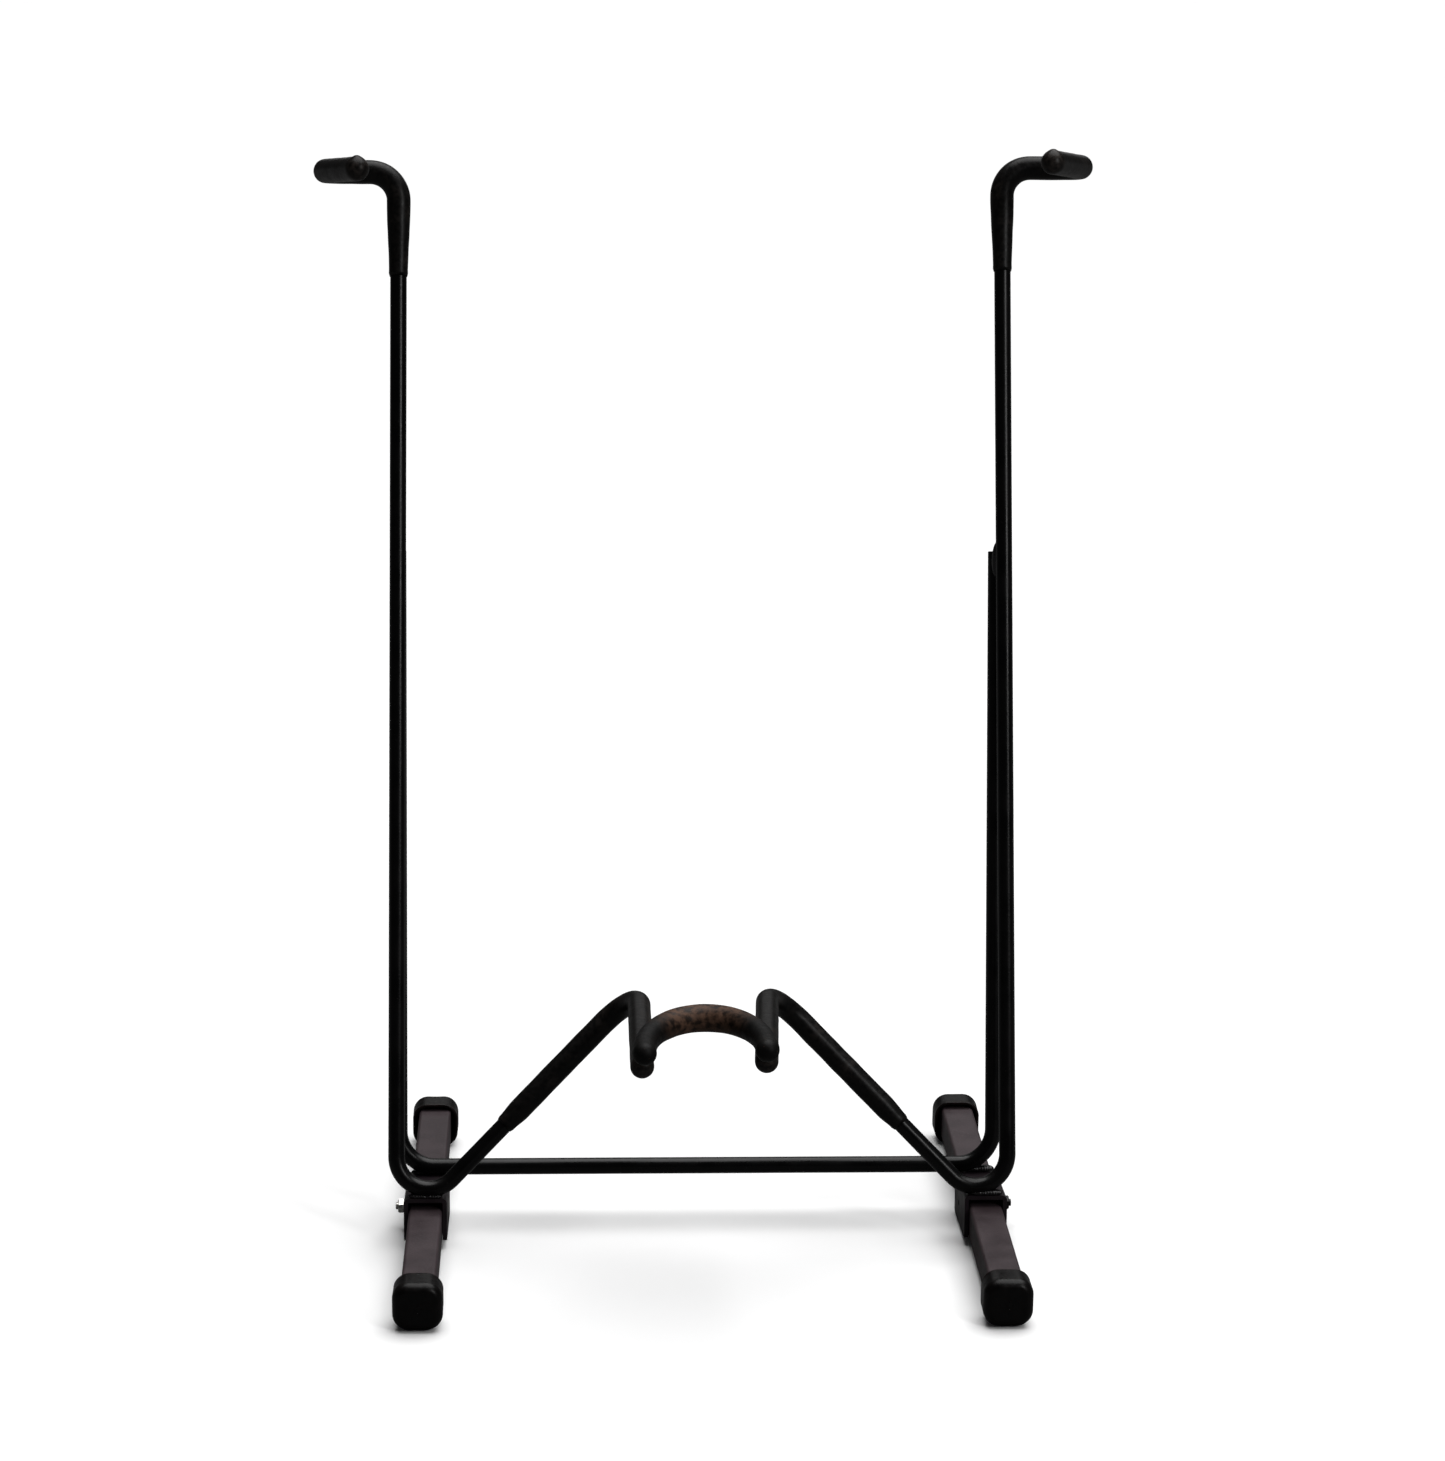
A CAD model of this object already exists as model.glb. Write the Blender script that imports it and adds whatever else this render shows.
import math

import bpy
from mathutils import Matrix, Vector, noise


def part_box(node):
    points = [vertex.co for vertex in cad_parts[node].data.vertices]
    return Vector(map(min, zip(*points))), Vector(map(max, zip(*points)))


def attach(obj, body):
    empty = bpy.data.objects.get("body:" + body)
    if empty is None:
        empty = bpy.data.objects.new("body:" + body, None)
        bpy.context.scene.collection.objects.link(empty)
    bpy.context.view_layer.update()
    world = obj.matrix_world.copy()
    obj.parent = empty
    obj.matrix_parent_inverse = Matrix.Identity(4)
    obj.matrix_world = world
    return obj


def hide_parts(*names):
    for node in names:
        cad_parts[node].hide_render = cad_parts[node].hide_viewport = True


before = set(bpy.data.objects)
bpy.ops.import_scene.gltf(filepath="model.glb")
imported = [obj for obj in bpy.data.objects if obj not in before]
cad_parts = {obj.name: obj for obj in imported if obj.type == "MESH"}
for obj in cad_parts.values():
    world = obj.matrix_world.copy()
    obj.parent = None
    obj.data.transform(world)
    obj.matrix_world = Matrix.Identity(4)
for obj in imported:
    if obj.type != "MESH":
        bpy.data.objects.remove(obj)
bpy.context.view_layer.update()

# ---------------------------------------------------------------- sizes, in metres

SIDE_CORNERS = {
    "left": [
        (-0.26331, 0.10492, 0.80328),
        (-0.29955, 0.19197, 0.79170),
        (-0.23635, 0.19197, 0.79170),
        (-0.23635, -0.05173, 0.01168),
        (-0.05210, 0.00455, 0.19180),
        (-0.05210, -0.15788, 0.18684),
    ],
    "right": [
        (0.25984, 0.10872, 0.81113),
        (0.29975, 0.19391, 0.79791),
        (0.23135, 0.19391, 0.79791),
        (0.23135, -0.05173, 0.01168),
        (0.04710, 0.00455, 0.19180),
        (0.03803, -0.15769, 0.19038),
    ],
}
BRACE_CORNERS = [
    (-0.23675, 0.11724, 0.50976),
    (-0.23675, 0.01630, 0.04134),
    (0.22675, 0.01630, 0.04134),
    (0.22675, 0.11724, 0.50976),
]
YOKE_CENTRE = (-0.00690, -0.17940, 0.20670)
HOOK_BEND = 0.016
TOP_BEND = 0.022
U_BEND = 0.0246
SEAT_BEND = 0.031
BRACE_BEND = 0.028

ROD = 0.00635
ROD_STEP = 0.006
ROD_FACETS = 40
SEAT_SLEEVE = 0.0087
HOOK_SLEEVE = 0.0092
SLEEVE_MOUTH = 0.00725
HOOK_SLEEVE_DROP = 0.081
HOOK_TAPER = 0.058
SEAT_MOUTH_HEIGHT = 0.09167
SEAT_TAPER = 0.018
HOOK_PEAK = 0.0011
SLEEVE_STEP = 0.0025
SLEEVE_FACETS = 44
SLEEVE_WAVE = 0.0002
NOISE_TURN = 0.004

YOKE_HALF_WIDTH = 0.044
YOKE_DROP = 0.0011
YOKE_DEPTH = 0.07
YOKE_ARM = 0.003
YOKE_PAD = 0.0103

PIVOT_Y = -0.0074
FOOT_X = 0.2144
FOOT_Z = 0.0185
TUBE_SIDE = 0.0254
CAP_WIDTH = 0.0368
CAP_HEIGHT = 0.037
CAP_END = 0.197
CAP_LENGTH = 0.025
CAP_CORNER = 0.0125
CAP_END_ROUND = 0.0075
CAP_MOUTH = 0.0155
CAP_MOUTH_DEPTH = 0.006
CAP_LIP = 0.0007
CAP_NUB_HEIGHT = 0.0006
CAP_NUB_RADIUS = 0.0022
CAP_FACE_SHARES = (0.18, 0.36, 0.54, 0.72, 0.9)
CAP_WALL_SHARES = (0.4, 0.55, 0.7, 0.85, 0.95)

PLATE_OUTER = 0.01635
WASHER = (0.003, 0.006, 0.0012)
NUT_APOTHEM = 0.005
NUT_HEIGHT = 0.005
SCREW_RADIUS = 0.003
SCREW_END = 0.0018
SCREW_RECESS = 0.0022
THREAD_LENGTH = 0.012
THREAD_PITCH = 0.001
THREAD_DEPTH = 0.0005
SMALL_EDGE = 0.0002
NUT_CHAMFER = 0.0006
HEAD_RADIUS = 0.0058
HEAD_DEPTH = 0.0028

BEAD_RIPPLES = 13
BEAD_STEPS = 72
BEAD_FACETS = 28

SIDES = {"left": -1, "right": 1}
UP = Vector((0, 0, 1))

# ---------------------------------------------------------------- centrelines


def bent(corners, radii, arc_step=0.0012):
    """Points along straight runs that are joined by tangent arcs."""
    line = [corners[0]]
    for before, corner, after, radius in zip(corners, corners[1:], corners[2:], radii):
        back = (before - corner).normalized()
        ahead = (after - corner).normalized()
        half = back.angle(ahead) / 2
        reach = radius / math.tan(half)
        centre = corner + (back + ahead).normalized() * (radius / math.sin(half))
        first = corner + back * reach - centre
        last = corner + ahead * reach - centre
        sweep = first.angle(last)
        axis = first.cross(last)
        steps = max(8, math.ceil(sweep * radius / arc_step))
        for i in range(steps + 1):
            line.append(centre + Matrix.Rotation(sweep * i / steps, 3, axis) @ first)
    line.append(corners[-1])
    return line


def evenly(line, step):
    """The line with its long runs divided, so that no gap is over the step."""
    points = [line[0]]
    for a, b in zip(line, line[1:]):
        parts = max(1, math.ceil((b - a).length / step))
        points += [a.lerp(b, i / parts) for i in range(1, parts + 1)]
    return points


def distances(line):
    """Distance from the start to each point."""
    found = [0.0]
    for a, b in zip(line, line[1:]):
        found.append(found[-1] + (b - a).length)
    return found


# ---------------------------------------------------------------- mesh building


def smoothstep(low, high, value):
    """0 below low, 1 above high, with an easy curve between."""
    share = min(max((value - low) / (high - low), 0.0), 1.0)
    return share * share * (3 - 2 * share)


def make_object(name, vertices, faces, material, wear=None):
    """Smooth-shaded object; wear is a number for each vertex that its material reads."""
    mesh = bpy.data.meshes.new(name)
    mesh.from_pydata(vertices, [], faces)
    mesh.update()
    mesh.polygons.foreach_set("use_smooth", [True] * len(mesh.polygons))
    if wear is not None:
        layer = mesh.attributes.new("wear", "FLOAT", "POINT")
        layer.data.foreach_set("value", wear)
    mesh.materials.append(material)
    piece = bpy.data.objects.new(name, mesh)
    bpy.context.scene.collection.objects.link(piece)
    return piece


def skin(rings, start_pole=None, end_pole=None):
    """Vertices and faces of a surface through rings of points, closed at its poles."""
    count = len(rings[0])
    vertices = [v for ring in rings for v in ring]
    faces = []
    for r in range(len(rings) - 1):
        for i in range(count):
            j = (i + 1) % count
            low, high = r * count, (r + 1) * count
            faces.append((low + i, low + j, high + j, high + i))
    for pole, base, flip in ((start_pole, 0, True), (end_pole, (len(rings) - 1) * count, False)):
        if pole is None:
            continue
        vertices.append(pole)
        top = len(vertices) - 1
        for i in range(count):
            j = (i + 1) % count
            faces.append((base + j, base + i, top) if flip else (base + i, base + j, top))
    return vertices, faces


def frames_along(line):
    """Tangent and a side vector at each point, turned as little as possible."""
    tangents = []
    for i in range(len(line)):
        ahead = line[min(i + 1, len(line) - 1)] - line[max(i - 1, 0)]
        tangents.append(ahead.normalized())
    side = tangents[0].orthogonal().normalized()
    frames = []
    for tangent in tangents:
        side = (side - tangent * side.dot(tangent)).normalized()
        frames.append((tangent, side))
    return frames


def tube_rings(line, frames, radius_at, sides):
    """Rings round a line; radius_at(point number, angle) is the radius there."""
    rings = []
    for number, (point, (tangent, side)) in enumerate(zip(line, frames)):
        across = tangent.cross(side)
        ring = []
        for i in range(sides):
            angle = 2 * math.pi * i / sides
            out = side * math.cos(angle) + across * math.sin(angle)
            ring.append(point + out * radius_at(number, angle))
        rings.append(ring)
    return rings


def round_end(line, radius, steps=7):
    """Points and radii that close a tube with a half ball past the last point."""
    ahead = (line[-1] - line[-2]).normalized()
    points, radii = [], []
    for i in range(1, steps):
        angle = math.pi / 2 * i / steps
        points.append(line[-1] + ahead * radius * math.sin(angle))
        radii.append(radius * math.cos(angle))
    return points, radii, line[-1] + ahead * radius


def waviness(point, scale, size):
    """Smooth unevenness of moulded rubber, drawn over the surface."""
    return noise.noise(point * scale) * size


# ---------------------------------------------------------------- materials


def new_material(name):
    """Empty node material with its output, shader and coordinates."""
    material = bpy.data.materials.new(name)
    material.use_nodes = True
    tree = material.node_tree
    tree.nodes.clear()
    output = tree.nodes.new("ShaderNodeOutputMaterial")
    shader = tree.nodes.new("ShaderNodeBsdfPrincipled")
    place = tree.nodes.new("ShaderNodeTexCoord")
    tree.links.new(shader.outputs["BSDF"], output.inputs["Surface"])
    return material, tree, shader, place.outputs["Object"]


def noise_node(tree, place, scale, detail=3.0, stretch=None):
    """Noise over the object's own coordinates, drawn out along an axis by stretch."""
    if stretch is not None:
        mapping = tree.nodes.new("ShaderNodeMapping")
        mapping.inputs["Scale"].default_value = stretch
        tree.links.new(place, mapping.inputs["Vector"])
        place = mapping.outputs["Vector"]
    node = tree.nodes.new("ShaderNodeTexNoise")
    node.inputs["Scale"].default_value = scale
    node.inputs["Detail"].default_value = detail
    tree.links.new(place, node.inputs["Vector"])
    return node.outputs["Fac"]


def ramp(tree, value, low, high, start, end):
    """Value mapped so that start at low becomes end at high, held beyond them."""
    node = tree.nodes.new("ShaderNodeMapRange")
    node.inputs["From Min"].default_value = low
    node.inputs["From Max"].default_value = high
    node.inputs["To Min"].default_value = start
    node.inputs["To Max"].default_value = end
    tree.links.new(value, node.inputs["Value"])
    return node.outputs["Result"]


def mix_colour(tree, share, first, second):
    """First colour where share is 0 and second where it is 1; each a tuple or a socket."""
    node = tree.nodes.new("ShaderNodeMix")
    node.data_type = "RGBA"
    for socket, value in ((node.inputs["A"], first), (node.inputs["B"], second)):
        if isinstance(value, tuple):
            socket.default_value = (*value, 1.0)
        else:
            tree.links.new(value, socket)
    tree.links.new(share, node.inputs["Factor"])
    return node.outputs["Result"]


def bumps(tree, shader, layers):
    """Chain of bumps; each layer is a height socket, its strength and its depth in metres."""
    normal = None
    for height, strength, depth in layers:
        node = tree.nodes.new("ShaderNodeBump")
        node.inputs["Strength"].default_value = strength
        node.inputs["Distance"].default_value = depth
        tree.links.new(height, node.inputs["Height"])
        if normal is not None:
            tree.links.new(normal, node.inputs["Normal"])
        normal = node.outputs["Normal"]
    tree.links.new(normal, shader.inputs["Normal"])


def paint(name, dark, light, roughness, peel, dust, specular):
    """Sprayed paint on steel: orange peel, faint colour drift, fine scratches and dust."""
    material, tree, shader, place = new_material(name)
    drift = noise_node(tree, place, 45.0)
    grain = noise_node(tree, place, 1400.0, 2.0)
    scratch = noise_node(tree, place, 60.0, 4.0, (14.0, 1.0, 14.0))
    scratch = ramp(tree, scratch, 0.66, 0.74, 0.0, 1.0)
    speck = ramp(tree, noise_node(tree, place, 620.0, 1.0), 0.70, 0.78, 0.0, 1.0)
    colour = mix_colour(tree, ramp(tree, drift, 0.35, 0.65, 0.0, 1.0), dark, light)
    colour = mix_colour(tree, ramp(tree, speck, 0.0, 1.0, 0.0, 0.55), colour, dust)
    colour = mix_colour(tree, ramp(tree, scratch, 0.0, 1.0, 0.0, 0.18), colour, dust)
    tree.links.new(colour, shader.inputs["Base Color"])
    rough = ramp(tree, drift, 0.3, 0.7, roughness[0], roughness[1])
    tree.links.new(rough, shader.inputs["Roughness"])
    shader.inputs["Specular IOR Level"].default_value = specular
    bumps(tree, shader, [(noise_node(tree, place, 520.0, 2.0), peel, 0.0003), (grain, 0.25, 0.00008)])
    return material


def rubber(name, dark, light, worn, roughness, mottle_scale, specular):
    """Moulded rubber: fine grain, blooming, and a browner tone where its mesh says worn."""
    material, tree, shader, place = new_material(name)
    mottle = noise_node(tree, place, mottle_scale, 6.0)
    grain = noise_node(tree, place, 1800.0, 2.0)
    blotch = noise_node(tree, place, 160.0, 3.0)
    wear = tree.nodes.new("ShaderNodeAttribute")
    wear.attribute_name = "wear"
    colour = mix_colour(tree, ramp(tree, blotch, 0.35, 0.7, 0.0, 1.0), dark, light)
    product = tree.nodes.new("ShaderNodeMath")
    product.operation = "MULTIPLY"
    tree.links.new(wear.outputs["Fac"], product.inputs[0])
    tree.links.new(ramp(tree, mottle, 0.38, 0.62, 0.15, 1.0), product.inputs[1])
    colour = mix_colour(tree, product.outputs["Value"], colour, worn)
    speck = ramp(tree, noise_node(tree, place, 760.0, 1.0), 0.73, 0.79, 0.0, 0.45)
    colour = mix_colour(tree, speck, colour, worn)
    tree.links.new(colour, shader.inputs["Base Color"])
    rough = ramp(tree, mottle, 0.3, 0.7, roughness[0], roughness[1])
    tree.links.new(rough, shader.inputs["Roughness"])
    shader.inputs["Specular IOR Level"].default_value = specular
    bumps(tree, shader, [(mottle, 0.35, 0.0004), (grain, 0.3, 0.0001)])
    return material


def plated(name, dark, light, roughness):
    """Plated steel hardware: turning marks, dull patches and a little grime."""
    material, tree, shader, place = new_material(name)
    patch = noise_node(tree, place, 420.0, 3.0)
    lines = noise_node(tree, place, 900.0, 2.0, (8.0, 1.0, 1.0))
    colour = mix_colour(tree, ramp(tree, patch, 0.35, 0.65, 0.0, 1.0), dark, light)
    tree.links.new(colour, shader.inputs["Base Color"])
    shader.inputs["Metallic"].default_value = 1.0
    tree.links.new(ramp(tree, patch, 0.3, 0.7, roughness[0], roughness[1]),
                   shader.inputs["Roughness"])
    bumps(tree, shader, [(lines, 0.3, 0.0001), (patch, 0.2, 0.0001)])
    return material


ROD_PAINT = paint("rod_paint", (0.0009, 0.0009, 0.001), (0.002, 0.0018, 0.002),
                  (0.22, 0.34), 0.2, (0.016, 0.014, 0.014), 0.2)
TUBE_PAINT = paint("tube_paint", (0.028, 0.0195, 0.022), (0.042, 0.03, 0.0335),
                   (0.42, 0.56), 0.35, (0.09, 0.07, 0.072), 0.25)
BRACKET_PAINT = paint("bracket_paint", (0.012, 0.0085, 0.0105), (0.02, 0.0145, 0.0175),
                      (0.3, 0.46), 0.4, (0.05, 0.04, 0.041), 0.22)
WELD_PAINT = paint("weld_paint", (0.0045, 0.0038, 0.0046), (0.013, 0.011, 0.0125),
                   (0.22, 0.36), 0.7, (0.05, 0.044, 0.046), 0.4)
CAP_RUBBER = rubber("cap_rubber", (0.0014, 0.0013, 0.0013), (0.003, 0.0027, 0.0027),
                    (0.011, 0.0062, 0.006), (0.26, 0.4), 240.0, 0.13)
SLEEVE_RUBBER = rubber("sleeve_rubber", (0.0014, 0.0014, 0.0015), (0.003, 0.003, 0.003),
                       (0.03, 0.024, 0.021), (0.3, 0.44), 300.0, 0.14)
YOKE_RUBBER = rubber("yoke_rubber", (0.0016, 0.0015, 0.0015), (0.0035, 0.003, 0.0028),
                     (0.1, 0.055, 0.036), (0.4, 0.6), 200.0, 0.12)
ZINC = plated("zinc_hardware", (0.35, 0.34, 0.32), (0.72, 0.71, 0.68), (0.22, 0.42))
BLACK_OXIDE = plated("black_hardware", (0.012, 0.012, 0.013), (0.035, 0.034, 0.034), (0.35, 0.5))
HARDWARE = {"left": ZINC, "right": BLACK_OXIDE}

# ---------------------------------------------------------------- rods and sleeves


def place_piece(piece, body, slot, *nodes):
    """Piece rides on its body, stands for CAD nodes and keeps their material slot."""
    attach(piece, body)
    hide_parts(*nodes)
    return piece


def flat_end(line, radius):
    """Points and radii of a sawn end with its edge broken by paint."""
    ahead = (line[-1] - line[-2]).normalized()
    edge = 0.0006
    return [line[-1] - ahead * edge, line[-1]], [radius, radius - edge], line[-1]


def rod_piece(name, line):
    """Round bar with softly broken ends."""
    line = evenly(line, ROD_STEP)
    start_points, start_radii, start_pole = flat_end(line[::-1], ROD)
    end_points, end_radii, end_pole = flat_end(line, ROD)
    points = start_points[::-1] + line[1:-1] + end_points
    radii = start_radii[::-1] + [ROD] * (len(line) - 2) + end_radii
    rings = tube_rings(points, frames_along(points), lambda number, angle: radii[number],
                       ROD_FACETS)
    vertices, faces = skin(rings, start_pole, end_pole)
    piece = make_object(name, vertices, faces, ROD_PAINT)
    return place_piece(piece, "frame", "rod_paint", name)


def sleeve_piece(name, line, radius, taper, peak=0.0):
    """Rubber tubing from its open mouth to its rounded tip, a little uneven all along."""
    line = evenly(line, SLEEVE_STEP)
    along = distances(line)
    tip_points, tip_radii, tip_pole = round_end(line, radius)
    ahead = (line[1] - line[0]).normalized()
    points = [line[0] + ahead * 0.004, line[0] + ahead * 0.0006, line[0]] + line[1:] + tip_points
    inside = [ROD - 0.0001, ROD + 0.0001, (ROD + SLEEVE_MOUTH) / 2]
    radii = list(inside)
    for distance in along[1:]:
        body = SLEEVE_MOUTH + (radius - SLEEVE_MOUTH) * smoothstep(0, taper, distance)
        radii.append(body + 0.00025 * (1 - smoothstep(0.001, 0.004, distance)))
    radii += tip_radii

    def radius_at(number, angle):
        if number < len(inside):
            return radii[number]
        unevenness = waviness(points[number] + UP * angle * NOISE_TURN, 90, SLEEVE_WAVE)
        return radii[number] * (1 + unevenness / radius)

    frames = frames_along(line)
    ring_frames = [frames[0]] * len(inside) + frames[1:] + [frames[-1]] * len(tip_points)
    rings = tube_rings(points, ring_frames, radius_at, SLEEVE_FACETS)
    vertices, faces = skin(rings, None, tip_pole)
    if peak:
        pinch_tip(vertices, line[-1], tip_pole - line[-1], radius, peak)
    wear = [0.12 + 0.3 * smoothstep(0.1, 0.5, noise.noise(v * 60)) for v in vertices]
    wear = [w + 0.6 * smoothstep(2.0, 0.6, (v - tip_pole).length / radius)
            for w, v in zip(wear, vertices)]
    piece = make_object(name, vertices, faces, SLEEVE_RUBBER, wear)
    return place_piece(piece, "frame", "sleeve_rubber", name)


def pinch_tip(vertices, centre, ahead, radius, peak):
    """Raises the small moulding peak on top of a tip's rounded end."""
    ahead = ahead.normalized()
    for v in vertices:
        out = v - centre
        if out.length > 1.2 * radius or out.dot(ahead) < -0.3 * radius:
            continue
        lift = max(0.0, out.normalized().dot(UP))
        v.z += peak * lift ** 14


def side_pieces(name):
    """One side rod with its hook sleeve and seat sleeve."""
    hook, elbow, shoulder, low, seat, prong = [Vector(p) for p in SIDE_CORNERS[name]]
    rod_piece(name + "_side_rod", bent([hook, elbow, shoulder, low, seat, prong],
                                       [HOOK_BEND, TOP_BEND, U_BEND, SEAT_BEND]))
    down = (low - shoulder).normalized()
    mouth = shoulder + down * HOOK_SLEEVE_DROP
    sleeve_piece(name + "_hook_sleeve", bent([mouth, shoulder, elbow, hook],
                                             [TOP_BEND, HOOK_BEND]),
                 HOOK_SLEEVE, HOOK_TAPER, HOOK_PEAK)
    share = (SEAT_MOUTH_HEIGHT - low.z) / (seat.z - low.z)
    sleeve_piece(name + "_seat_sleeve", bent([low.lerp(seat, share), seat, prong], [SEAT_BEND]),
                 SEAT_SLEEVE, SEAT_TAPER)


for side_name in SIDES:
    side_pieces(side_name)
rod_piece("rear_brace", bent([Vector(p) for p in BRACE_CORNERS], [BRACE_BEND] * 2))

# ---------------------------------------------------------------- yoke


def yoke_line(steps=96):
    """Horseshoe centreline, from the front of one arm round the back to the other."""
    centre = Vector(YOKE_CENTRE)
    aside = Vector((YOKE_HALF_WIDTH, 0, YOKE_DROP))
    arm = Vector((0, -YOKE_ARM, 0))
    back = Vector((0, YOKE_DEPTH, 0))
    line = [centre + aside + arm]
    for i in range(steps + 1):
        angle = math.pi * i / steps
        line.append(centre + aside * math.cos(angle) + back * math.sin(angle))
    line.append(centre - aside + arm)
    return line


def yoke_piece():
    """Padded sleeve of the yoke, thickest and most worn at its back."""
    line = evenly(yoke_line(), SLEEVE_STEP)
    along = distances(line)
    middle = along[-1] / 2
    first_points, first_radii, first_pole = round_end(line[::-1], SEAT_SLEEVE)
    last_points, last_radii, last_pole = round_end(line, SEAT_SLEEVE)
    points = first_points[::-1] + line + last_points
    shares = [1.0] * len(first_points)
    shares += [abs(distance - middle) / middle for distance in along]
    shares += [1.0] * len(last_points)
    radii = first_radii[::-1]
    radii += [YOKE_PAD + (SEAT_SLEEVE - YOKE_PAD) * smoothstep(0.05, 0.95, share)
              for share in shares[len(first_points):-len(last_points)]]
    radii += last_radii

    def radius_at(number, angle):
        wave = waviness(points[number] + UP * angle * NOISE_TURN, 80, SLEEVE_WAVE)
        return radii[number] + wave * min(1.0, radii[number] / SEAT_SLEEVE)

    rings = tube_rings(points, frames_along(points), radius_at, SLEEVE_FACETS)
    vertices, faces = skin(rings, first_pole, last_pole)
    wear = []
    for share in shares:
        wear += [1.0 - smoothstep(0.18, 0.62, share)] * SLEEVE_FACETS
    wear += [0.0, 0.0]
    piece = make_object("yoke_sleeve", vertices, faces, YOKE_RUBBER, wear)
    return place_piece(piece, "frame", "yoke_rubber", "yoke_sleeve", "yoke_rod")


yoke_piece()

# ---------------------------------------------------------------- foot caps


def rounded_outline(half_width, low, high, corner, per_corner=10, per_side=6):
    """Closed outline of a rounded rectangle in X and Z, always the same count of points."""
    centres = [(half_width - corner, high - corner, 0), (-half_width + corner, high - corner, 90),
               (-half_width + corner, low + corner, 180), (half_width - corner, low + corner, 270)]
    corners = []
    for x, z, turn in centres:
        arc = []
        for i in range(per_corner + 1):
            angle = math.radians(turn + 90 * i / per_corner)
            arc.append((x + corner * math.cos(angle), z + corner * math.sin(angle)))
        corners.append(arc)
    outline = []
    for number, arc in enumerate(corners):
        following = corners[(number + 1) % 4][0]
        outline += arc
        for i in range(1, per_side):
            share = i / per_side
            outline.append((arc[-1][0] + (following[0] - arc[-1][0]) * share,
                            arc[-1][1] + (following[1] - arc[-1][1]) * share))
    return outline


def cap_stations():
    """Depth behind the face and reach from the middle of each ring, from the face to the mouth."""
    half = CAP_WIDTH / 2
    stations = [(0.0, (half - CAP_END_ROUND) * share) for share in CAP_FACE_SHARES]
    for i in range(7):
        angle = math.pi / 2 * i / 6
        stations.append((CAP_END_ROUND * (1 - math.cos(angle)),
                         half - CAP_END_ROUND * (1 - math.sin(angle))))
    for share in CAP_WALL_SHARES:
        bulge = 0.0003 * (1 - abs(2 * share - 1.1))
        stations.append((CAP_LENGTH * share, half - 0.0004 + bulge))
    socket = CAP_LENGTH - CAP_MOUTH_DEPTH
    stations += [(CAP_LENGTH - CAP_LIP, half - 0.0002), (CAP_LENGTH, half - CAP_LIP),
                 (CAP_LENGTH, CAP_MOUTH + CAP_LIP), (CAP_LENGTH - CAP_LIP, CAP_MOUTH),
                 (socket + CAP_LIP, CAP_MOUTH - 0.0003), (socket, CAP_MOUTH - CAP_LIP),
                 (socket, TUBE_SIDE / 2 + 0.0001)]
    return stations


def cap_piece(name, side, end, direction):
    """Barrel-shaped rubber cap with a flat base, a moulding nub and a wide mouth."""
    half = CAP_WIDTH / 2
    face_y = PIVOT_Y + direction * CAP_END
    centre = Vector((side * FOOT_X, face_y, CAP_HEIGHT / 2))
    rings, wear = [], []
    for depth, reach in cap_stations():
        corner = max(min(CAP_CORNER - (half - reach), reach * 0.98), 0.0022)
        low = centre.z - reach
        if reach > TUBE_SIDE / 2 + 0.001:
            low = max(low, 0.0)
        ring = []
        for x, z in rounded_outline(reach, low, centre.z + reach, corner):
            ring.append(Vector((centre.x + x, face_y - direction * depth, z)))
        if direction > 0:
            ring.reverse()
        rings.append(ring)
        wear += [0.1 + 0.9 * smoothstep(CAP_LENGTH - 0.004, CAP_LENGTH, depth)] * len(ring)
    vertices, faces = skin(rings, centre.copy(), None)
    wear.append(0.1)
    for v in vertices:
        if abs(v.y - face_y) < SMALL_EDGE:
            out = math.hypot(v.x - centre.x, v.z - centre.z)
            v.y -= direction * CAP_NUB_HEIGHT * (1 - math.exp(-(out / CAP_NUB_RADIUS) ** 2))
        if v.z > 0.001:
            v.z += waviness(v, 70, 0.0003) * smoothstep(0.001, 0.01, v.z)
        v.z = max(v.z, 0.0)
    node = f"{name}_{end}_cap"
    piece = make_object(node, vertices, faces, CAP_RUBBER, wear)
    return place_piece(piece, name + "_foot", "cap_rubber", node)


for side_name, side_sign in SIDES.items():
    cap_piece(side_name, side_sign, "front", -1)
    cap_piece(side_name, side_sign, "rear", 1)

# ---------------------------------------------------------------- screws


def lathe(centre, outward, profile, sides=48, radius_of=None):
    """Rings about an X axis; the profile is a list of distance outward and radius."""
    rings = []
    for distance, radius in profile:
        ring = []
        for i in range(sides):
            angle = 2 * math.pi * i / sides
            r = radius_of(radius, angle) if radius_of else radius
            ring.append(centre + Vector((outward * distance,
                                         outward * r * math.cos(angle), r * math.sin(angle))))
        rings.append(ring)
    return rings


def screw_profile(length):
    """Countersunk head with a drive recess, plain shank and a threaded end."""
    profile = [(0.0018, 0.0), (0.0018, SCREW_RECESS * 0.8), (SMALL_EDGE, SCREW_RECESS),
               (0.0, SCREW_RECESS + 0.0003), (0.0, HEAD_RADIUS - SMALL_EDGE),
               (SMALL_EDGE, HEAD_RADIUS), (HEAD_DEPTH, SCREW_RADIUS),
               (length - THREAD_LENGTH, SCREW_RADIUS)]
    for i in range(int(THREAD_LENGTH / THREAD_PITCH)):
        start = length - THREAD_LENGTH + i * THREAD_PITCH
        profile += [(start + 0.25 * THREAD_PITCH, SCREW_RADIUS - THREAD_DEPTH),
                    (start + 0.75 * THREAD_PITCH, SCREW_RADIUS - 0.00005)]
    profile += [(length - SMALL_EDGE, SCREW_RADIUS - 0.0006), (length, SCREW_RADIUS - 0.0009),
                (length, 0.0)]
    return profile


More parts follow.
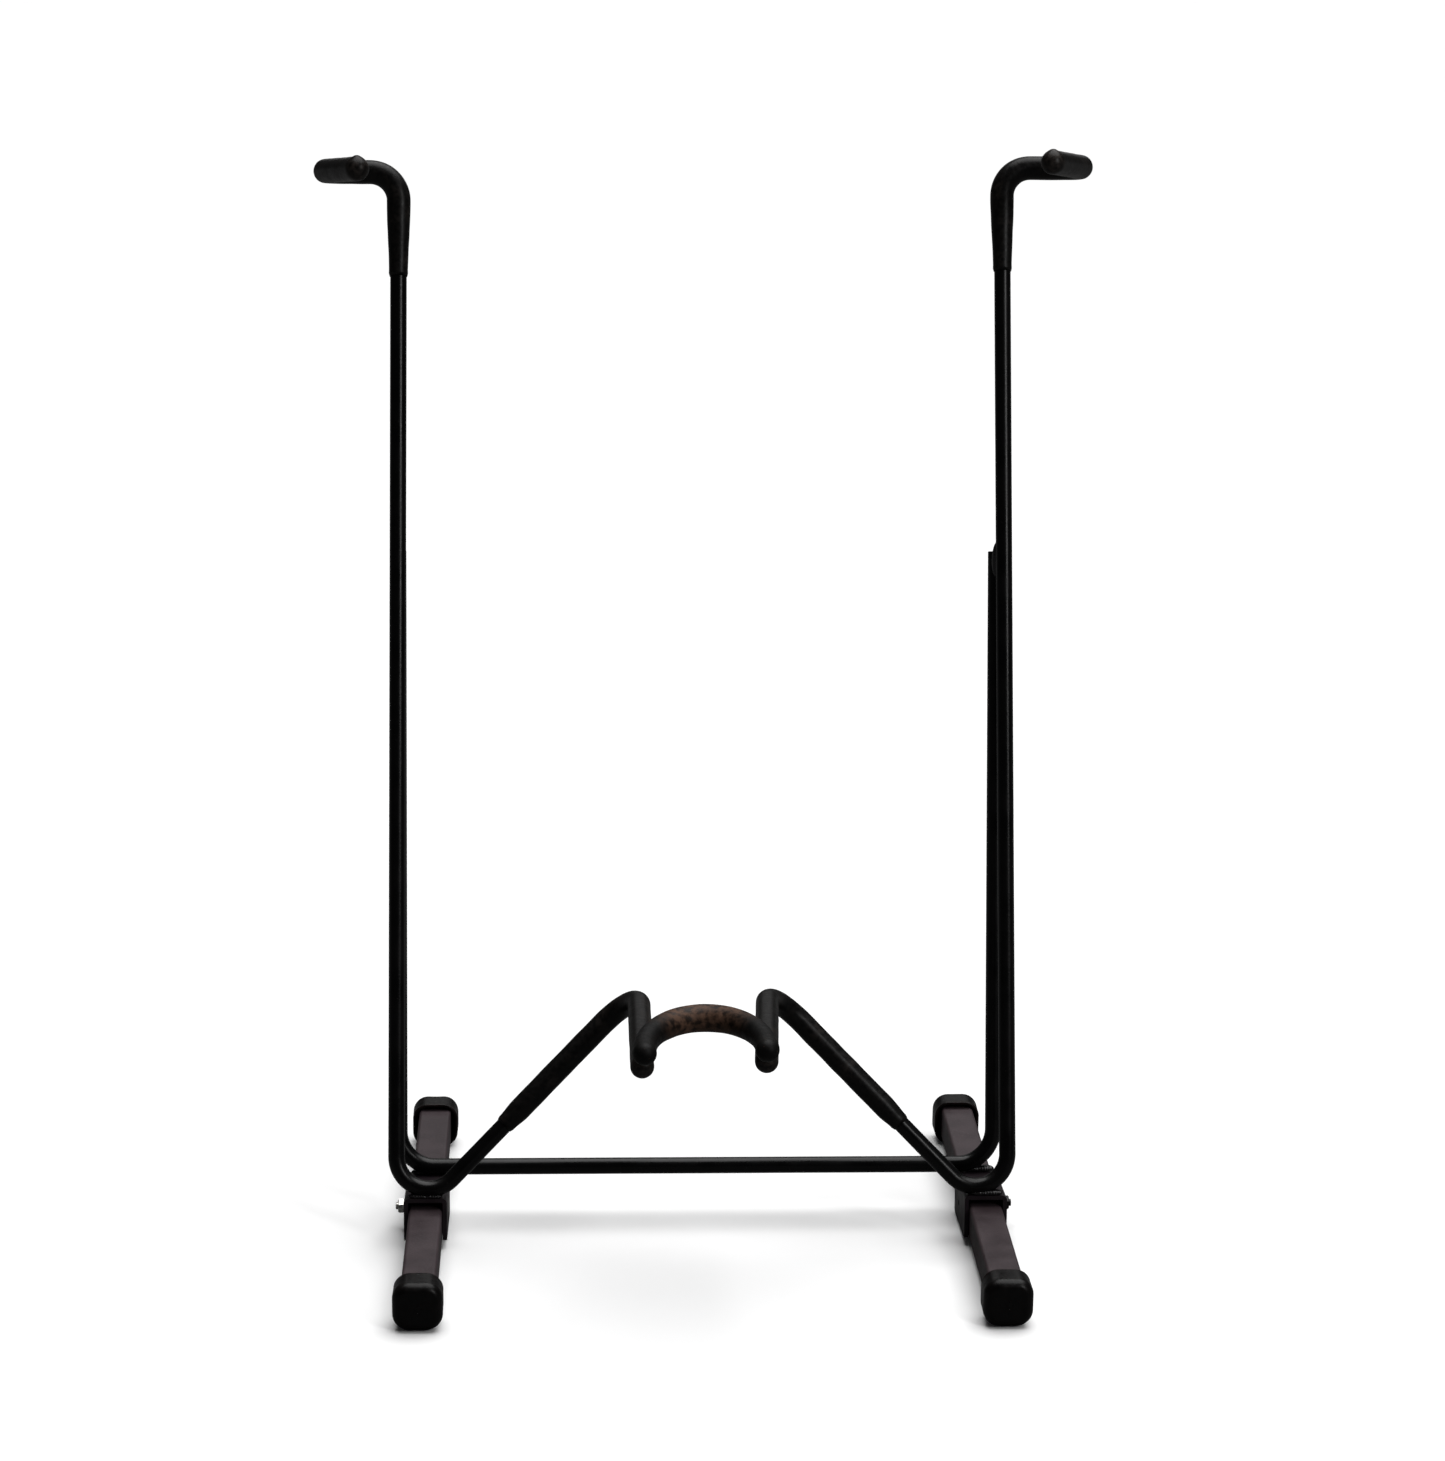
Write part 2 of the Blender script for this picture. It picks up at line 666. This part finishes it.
def hexagonal(radius, angle):
    """Radius of the nut's outline; the bore stays round."""
    if radius < NUT_APOTHEM * 0.9:
        return radius
    apart = (angle + math.pi / 6) % (math.pi / 3) - math.pi / 6
    return min(radius, NUT_APOTHEM / math.cos(apart))


def hardware(name, side):
    """Pivot screw, washer and nut of one foot."""
    centre = Vector((side * FOOT_X, PIVOT_Y, FOOT_Z))
    material = HARDWARE[name]
    slot = "zinc_hardware" if name == "left" else "black_hardware"
    inner = centre - Vector((side * PLATE_OUTER, 0, 0))
    outer = centre + Vector((side * PLATE_OUTER, 0, 0))
    bore, rim, thick = WASHER
    length = 2 * PLATE_OUTER + thick + NUT_HEIGHT + SCREW_END
    vertices, faces = skin(lathe(inner, side, screw_profile(length)))
    screw = make_object(name + "_pivot_screw", vertices, faces, material)
    place_piece(screw, "frame", slot, name + "_pivot_screw")

    profile = [(0.0, bore), (0.0, rim - SMALL_EDGE), (SMALL_EDGE, rim),
               (thick - SMALL_EDGE, rim), (thick, rim - SMALL_EDGE), (thick, bore)]
    vertices, faces = skin(lathe(outer, side, profile))
    washer = make_object(name + "_pivot_washer", vertices, faces, material)
    place_piece(washer, "frame", slot, name + "_pivot_washer")

    corner = NUT_APOTHEM / math.cos(math.pi / 6)
    profile = [(0.0, bore), (0.0, NUT_APOTHEM * 0.95), (NUT_CHAMFER, corner),
               (NUT_HEIGHT / 2, corner), (NUT_HEIGHT - NUT_CHAMFER, corner),
               (NUT_HEIGHT, NUT_APOTHEM * 0.95), (NUT_HEIGHT, bore + NUT_CHAMFER),
               (NUT_HEIGHT - NUT_CHAMFER, bore)]
    nut_face = outer + Vector((side * thick, 0, 0))
    vertices, faces = skin(lathe(nut_face, side, profile, 72, hexagonal))
    nut = make_object(name + "_pivot_nut", vertices, faces, material)
    nut.data.polygons.foreach_set("use_smooth", [False] * len(nut.data.polygons))
    place_piece(nut, "frame", slot, name + "_pivot_nut")


for side_name, side_sign in SIDES.items():
    hardware(side_name, side_sign)

# ---------------------------------------------------------------- welds


def bead_piece(node):
    """Weld bead along X with its ripples, inside the box of the CAD bead."""
    low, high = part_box(node)
    centre = (low + high) / 2
    half = (high - low) / 2
    rings = []
    for s in range(BEAD_STEPS + 1):
        share = -1 + 2 * s / BEAD_STEPS
        body = max(0.0, 1 - abs(share) ** 3.5) ** 0.5
        ripple = 1 + 0.09 * abs(math.sin(share * BEAD_RIPPLES * math.pi / 2))
        ring = []
        for i in range(BEAD_FACETS):
            angle = 2 * math.pi * i / BEAD_FACETS
            wave = noise.noise(Vector((share * 6, math.cos(angle) * 2, math.sin(angle) * 2)))
            r = body * (ripple + 0.07 * wave) / 1.12
            bow = 0.00048 * body * math.cos(angle) ** 2
            ring.append(centre + Vector((share * half.x * 0.985 + bow,
                                         half.y * math.cos(angle) * r,
                                         half.z * math.sin(angle) * r)))
        rings.append(ring)
    vertices, faces = skin(rings)
    piece = make_object(node, vertices, faces, WELD_PAINT)
    return place_piece(piece, "frame", "weld_paint", node)


for side_name in SIDES:
    bead_piece(side_name + "_rod_weld")
    bead_piece(side_name + "_crossbar_weld")

# ---------------------------------------------------------------- CAD nodes that stay

KEPT = {
    "left_foot_tube": TUBE_PAINT, "right_foot_tube": TUBE_PAINT,
    "left_bracket": BRACKET_PAINT, "right_bracket": BRACKET_PAINT,
    "left_brace_weld": WELD_PAINT, "right_brace_weld": WELD_PAINT,
}
for node, material in KEPT.items():
    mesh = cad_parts[node].data
    mesh.materials.clear()
    mesh.materials.append(material)

# ---------------------------------------------------------------- floor, light, camera


def floor():
    """Pale seamless floor, which throws little light back up at the black paint."""
    material, tree, shader, place = new_material("studio_floor")
    drift = noise_node(tree, place, 3.0)
    colour = mix_colour(tree, ramp(tree, drift, 0.3, 0.7, 0.0, 1.0), (0.93, 0.93, 0.93),
                        (0.95, 0.95, 0.95))
    tree.links.new(colour, shader.inputs["Base Color"])
    shader.inputs["Roughness"].default_value = 0.9
    shader.inputs["Specular IOR Level"].default_value = 0.0
    seen = tree.nodes.new("ShaderNodeLightPath")
    dim = tree.nodes.new("ShaderNodeBsdfDiffuse")
    dim.inputs["Color"].default_value = (0.12, 0.12, 0.12, 1.0)
    choice = tree.nodes.new("ShaderNodeMixShader")
    tree.links.new(seen.outputs["Is Camera Ray"], choice.inputs["Fac"])
    tree.links.new(dim.outputs["BSDF"], choice.inputs[1])
    tree.links.new(shader.outputs["BSDF"], choice.inputs[2])
    tree.links.new(choice.outputs["Shader"], tree.nodes["Material Output"].inputs["Surface"])
    reach = 60.0
    corners = [Vector((x * reach, y * reach, -0.0004)) for x, y in ((-1, -1), (1, -1), (1, 1), (-1, 1))]
    make_object("floor", corners, [(0, 1, 2, 3)], material)


def aimed(name, data, place, target):
    """Light at a place, pointed at a target."""
    light = bpy.data.objects.new(name, data)
    light.location = place
    light.rotation_euler = (Vector(target) - Vector(place)).to_track_quat("-Z", "Y").to_euler()
    bpy.context.scene.collection.objects.link(light)


def soft_box(name, place, target, size, power):
    """Rectangular area light."""
    data = bpy.data.lights.new(name, "AREA")
    data.shape = "RECTANGLE"
    data.size, data.size_y = size
    data.energy = power
    aimed(name, data, place, target)


def studio():
    """White backdrop behind dim surroundings, a broad light from above and two soft boxes."""
    world = bpy.data.worlds.new("studio")
    bpy.context.scene.world = world
    world.use_nodes = True
    tree = world.node_tree
    backdrop = tree.nodes["Background"]
    backdrop.inputs["Color"].default_value = (1.0, 1.0, 1.0, 1.0)
    around = tree.nodes.new("ShaderNodeBackground")
    around.inputs["Strength"].default_value = 0.05
    rays = tree.nodes.new("ShaderNodeLightPath")
    choice = tree.nodes.new("ShaderNodeMixShader")
    tree.links.new(rays.outputs["Is Camera Ray"], choice.inputs["Fac"])
    tree.links.new(around.outputs["Background"], choice.inputs[1])
    tree.links.new(backdrop.outputs["Background"], choice.inputs[2])
    tree.links.new(choice.outputs["Shader"], tree.nodes["World Output"].inputs["Surface"])
    above = bpy.data.lights.new("above", "SUN")
    above.energy = 3.4
    above.angle = math.radians(60)
    aimed("above", above, (0.5, 0.7, 3.0), (0, 0, 0))
    soft_box("key", (1.9, -2.0, 1.9), (0, 0, 0.35), (0.5, 1.4), 26)
    soft_box("rear", (0.2, 3.2, 1.5), (0, 0, 0.1), (2.4, 0.8), 4)
    bpy.context.scene.view_settings.view_transform = "Standard"


def camera():
    """Camera at the photograph's viewing angle."""
    data = bpy.data.cameras.new("camera")
    data.sensor_width = 36.0
    data.lens = 88.95
    data.clip_end = 200.0
    eye = bpy.data.objects.new("camera", data)
    yaw, pitch, roll = math.radians(-2.52), math.radians(14.73), math.radians(0.64)
    eye.matrix_world = (Matrix.Translation((-0.1051, -2.6211, 1.0863))
                        @ Matrix.Rotation(yaw, 4, "Z")
                        @ Matrix.Rotation(math.pi / 2 - pitch, 4, "X")
                        @ Matrix.Rotation(roll, 4, "Z"))
    bpy.context.scene.collection.objects.link(eye)
    bpy.context.scene.camera = eye


floor()
studio()
camera()
